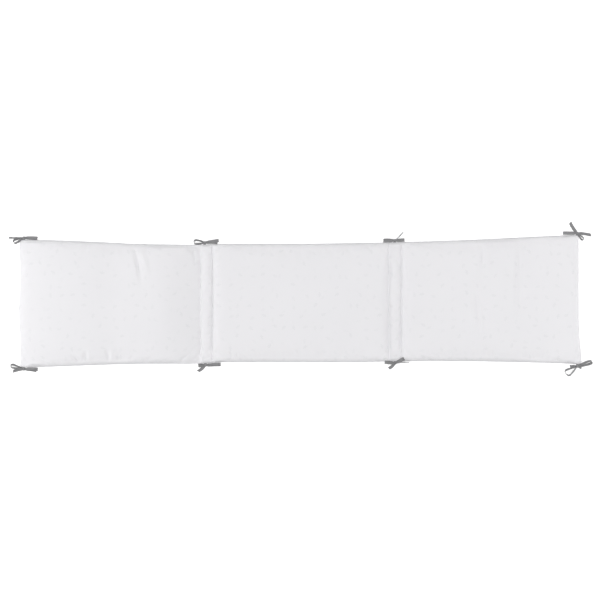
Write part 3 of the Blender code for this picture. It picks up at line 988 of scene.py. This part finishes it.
def cover_cotton(finish):
    """Matt white cotton with a plain weave, a faint print of small sprigs, and painted shade along its seams.
    """
    material, tree, shader = new_material("cover_cotton")
    place = add_node(tree, "TexCoord").outputs["Object"]
    ink, chance = sprig_print(tree, place, finish.print_spacing)
    strength = add_math(tree, "MULTIPLY", ink, map_range(tree, chance, (0.0, 1.0), (0.05, 1.0)))
    cloudy = map_range(tree, noise(tree, place, CLOUD_GRAIN, 3.0), (0.3, 0.7), (0.0, 0.35))
    stretched = add_node(tree, "Mapping", {"Vector": place, "Scale": SLUB_STRETCH}).outputs[0]
    slubs = map_range(tree, noise(tree, stretched, SLUB_GRAIN), (0.35, 0.75), (0.0, 0.5))
    cloth = blend_colours(tree, cloudy, finish.cover, finish.cover_shade)
    cloth = blend_colours(tree, slubs, cloth, finish.cover_shade)
    cloth = blend_colours(tree, strength, cloth, finish.print_tint)
    # Painted shade: the sewn attribute darkens the rim and the rows of stitching toward the seam shade colour.
    sewn = add_node(tree, "Attribute", attribute_name="sewn").outputs["Fac"]
    tree.links.new(blend_colours(tree, sewn, cloth, finish.cover_seam), shader.inputs["Base Color"])
    weave = threads(tree, place)
    fibres = add_math(tree, "MULTIPLY", noise(tree, place, FIBRE_GRAIN), 1.2)
    add_bump(tree, shader, add_math(tree, "ADD", weave, fibres), WEAVE_RELIEF)
    tree.links.new(map_range(tree, weave, (-2.0, 2.0), (0.97, 0.88)), shader.inputs["Roughness"])
    shader.inputs["Specular IOR Level"].default_value = 0.25
    shader.inputs["Sheen Weight"].default_value = 0.12
    shader.inputs["Sheen Roughness"].default_value = 0.5
    return material


def cotton_thread(finish):
    """Twisted sewing thread."""
    material, tree, shader = new_material("cotton_thread")
    place = add_node(tree, "TexCoord").outputs["Object"]
    parts = add_node(tree, "SeparateXYZ", {0: place})
    slant = add_math(tree, "ADD", parts.outputs[0], parts.outputs[1])
    twist = add_math(tree, "SINE", add_math(tree, "MULTIPLY", slant, 2 * math.pi / TWIST_PITCH))
    share = map_range(tree, twist, (-1.0, 1.0), (0.0, 0.6))
    tree.links.new(blend_colours(tree, share, finish.thread, finish.cover_shade), shader.inputs["Base Color"])
    add_bump(tree, shader, twist, TWIST_RELIEF)
    shader.inputs["Roughness"].default_value = 0.7
    shader.inputs["Sheen Weight"].default_value = 0.2
    return material


def tie_ribbon(finish):
    """Grey woven ribbon: fine ribs across it with painted shade between them, and a smooth woven edge on each
    side.
    """
    material, tree, shader = new_material("tie_ribbon")
    coordinates = add_node(tree, "TexCoord")
    parts = add_node(tree, "SeparateXYZ", {0: coordinates.outputs["UV"]})
    across = add_math(tree, "ABSOLUTE", add_math(tree, "SUBTRACT", parts.outputs[1], 0.5))
    edge = map_range(tree, across, WOVEN_EDGE, way="SMOOTHSTEP")
    rib = add_math(tree, "SINE", add_math(tree, "MULTIPLY", parts.outputs[0], 2 * math.pi * RIB_COUNT))
    warp = add_math(tree, "SINE", add_math(tree, "MULTIPLY", parts.outputs[1], 2 * math.pi * WARP_COUNT))
    body = add_math(tree, "ADD", rib, add_math(tree, "MULTIPLY", warp, 0.35))
    ribbed = add_math(tree, "MULTIPLY", body, add_math(tree, "SUBTRACT", 1.0, edge))
    height = add_math(tree, "ADD", ribbed, add_math(tree, "MULTIPLY", edge, 1.4))
    worn = noise(tree, coordinates.outputs["Object"], FADE_GRAIN, 3.0)
    faded = map_range(tree, worn, (0.3, 0.7), (0.0, 0.5))
    # Painted shade in the grooves: the lower the ribs' relief, the more of the darker colour.
    groove_shade = map_range(tree, body, (-1.3, 1.3), (0.45, 0.0))
    cloth = blend_colours(tree, faded, finish.ribbon, finish.ribbon_light)
    cloth = blend_colours(tree, groove_shade, cloth, finish.ribbon_dark)
    cloth = blend_colours(tree, add_math(tree, "MULTIPLY", edge, 0.35), cloth, finish.ribbon_light)
    tree.links.new(cloth, shader.inputs["Base Color"])
    tree.links.new(map_range(tree, body, (-1.3, 1.3), (0.85, 0.62)), shader.inputs["Roughness"])
    add_bump(tree, shader, height, RIB_RELIEF)
    shader.inputs["Specular IOR Level"].default_value = 0.4
    shader.inputs["Sheen Weight"].default_value = 0.25
    shader.inputs["Sheen Roughness"].default_value = 0.4
    return material


def add_light(name, kind, energy, place):
    """A light at a place, facing the band."""
    light = bpy.data.lights.new(name, kind)
    light.energy = energy
    lamp = add_object(name, light)
    lamp.location = place
    lamp.rotation_euler = (-lamp.location).to_track_quat("-Z", "Y").to_euler()
    return light


class BUMPER_OT_stage(bpy.types.Operator):
    """Make the pale floor, the soft lights and the camera"""

    bl_idname = "bumper.stage"
    bl_label = "Stage"

    def execute(self, context):
        stage = context.scene.bumper_stage
        shape = bmesh.new()
        bmesh.ops.create_grid(shape, x_segments=1, y_segments=1, size=FLOOR_REACH)
        floor = add_object("floor", finished_mesh(shape, "floor"))
        paint, _, shader = new_material("floor_paint")
        shader.inputs["Base Color"].default_value = stage.floor
        shader.inputs["Roughness"].default_value = 1.0
        shader.inputs["Specular IOR Level"].default_value = 0.0
        shader.inputs["Emission Color"].default_value = (1, 1, 1, 1)
        shader.inputs["Emission Strength"].default_value = stage.floor_glow
        floor.data.materials.append(paint)
        world = bpy.data.worlds.new("studio")
        context.scene.world = world
        world.use_nodes = True
        sky = world.node_tree.nodes["Background"]
        sky.inputs["Color"].default_value = (1, 1, 1, 1)
        sky.inputs["Strength"].default_value = stage.sky
        for lamp in LAMPS:
            light = add_light(lamp.name, "AREA", getattr(stage, lamp.name), lamp.place)
            light.shape = "SQUARE"
            light.size = lamp.side
        place = (-KEY_DISTANCE, 0, KEY_DISTANCE * math.tan(stage.key_height))
        key_light = add_light("key_light", "SUN", stage.key_light, place)
        key_light.angle = stage.key_spread
        lens = bpy.data.cameras.new("camera")
        lens.lens, lens.sensor_width = LENS_LENGTH, SENSOR_WIDTH
        lens.clip_end = SIGHT_REACH
        camera = add_object("camera", lens)
        camera.location = (0, CAMERA_SHIFT, stage.camera_height)
        context.scene.camera = camera
        context.scene.view_settings.view_transform = "Standard"
        return {"FINISHED"}


class BUMPER_PT_sidebar(bpy.types.Panel):
    """Lists the bumper's pieces and the stage"""

    bl_idname = "BUMPER_PT_sidebar"
    bl_label = "Crib Bumper"
    bl_space_type = "VIEW_3D"
    bl_region_type = "UI"
    bl_category = "Bumper"

    def draw(self, context):
        for operator in OPERATORS:
            self.layout.operator(operator.bl_idname)


SETTINGS = {
    "bumper_band": BandSettings,
    "bumper_tie": TieSettings,
    "bumper_stitch": StitchSettings,
    "bumper_finish": FinishSettings,
    "bumper_stage": StageSettings,
}
OPERATORS = (BUMPER_OT_stage, BUMPER_OT_padded_band, BUMPER_OT_stitching, BUMPER_OT_ribbon_ties)
CLASSES = (*SETTINGS.values(), *OPERATORS, BUMPER_PT_sidebar)


def register():
    for made in CLASSES:
        bpy.utils.register_class(made)
    for name, group in SETTINGS.items():
        setattr(bpy.types.Scene, name, PointerProperty(type=group))


def unregister():
    for name in SETTINGS:
        delattr(bpy.types.Scene, name)
    for made in reversed(CLASSES):
        bpy.utils.unregister_class(made)


def main():
    register()
    bpy.ops.bumper.stage()
    bpy.ops.bumper.padded_band()
    bpy.ops.bumper.stitching()
    bpy.ops.bumper.ribbon_ties()


if __name__ == "__main__":
    main()
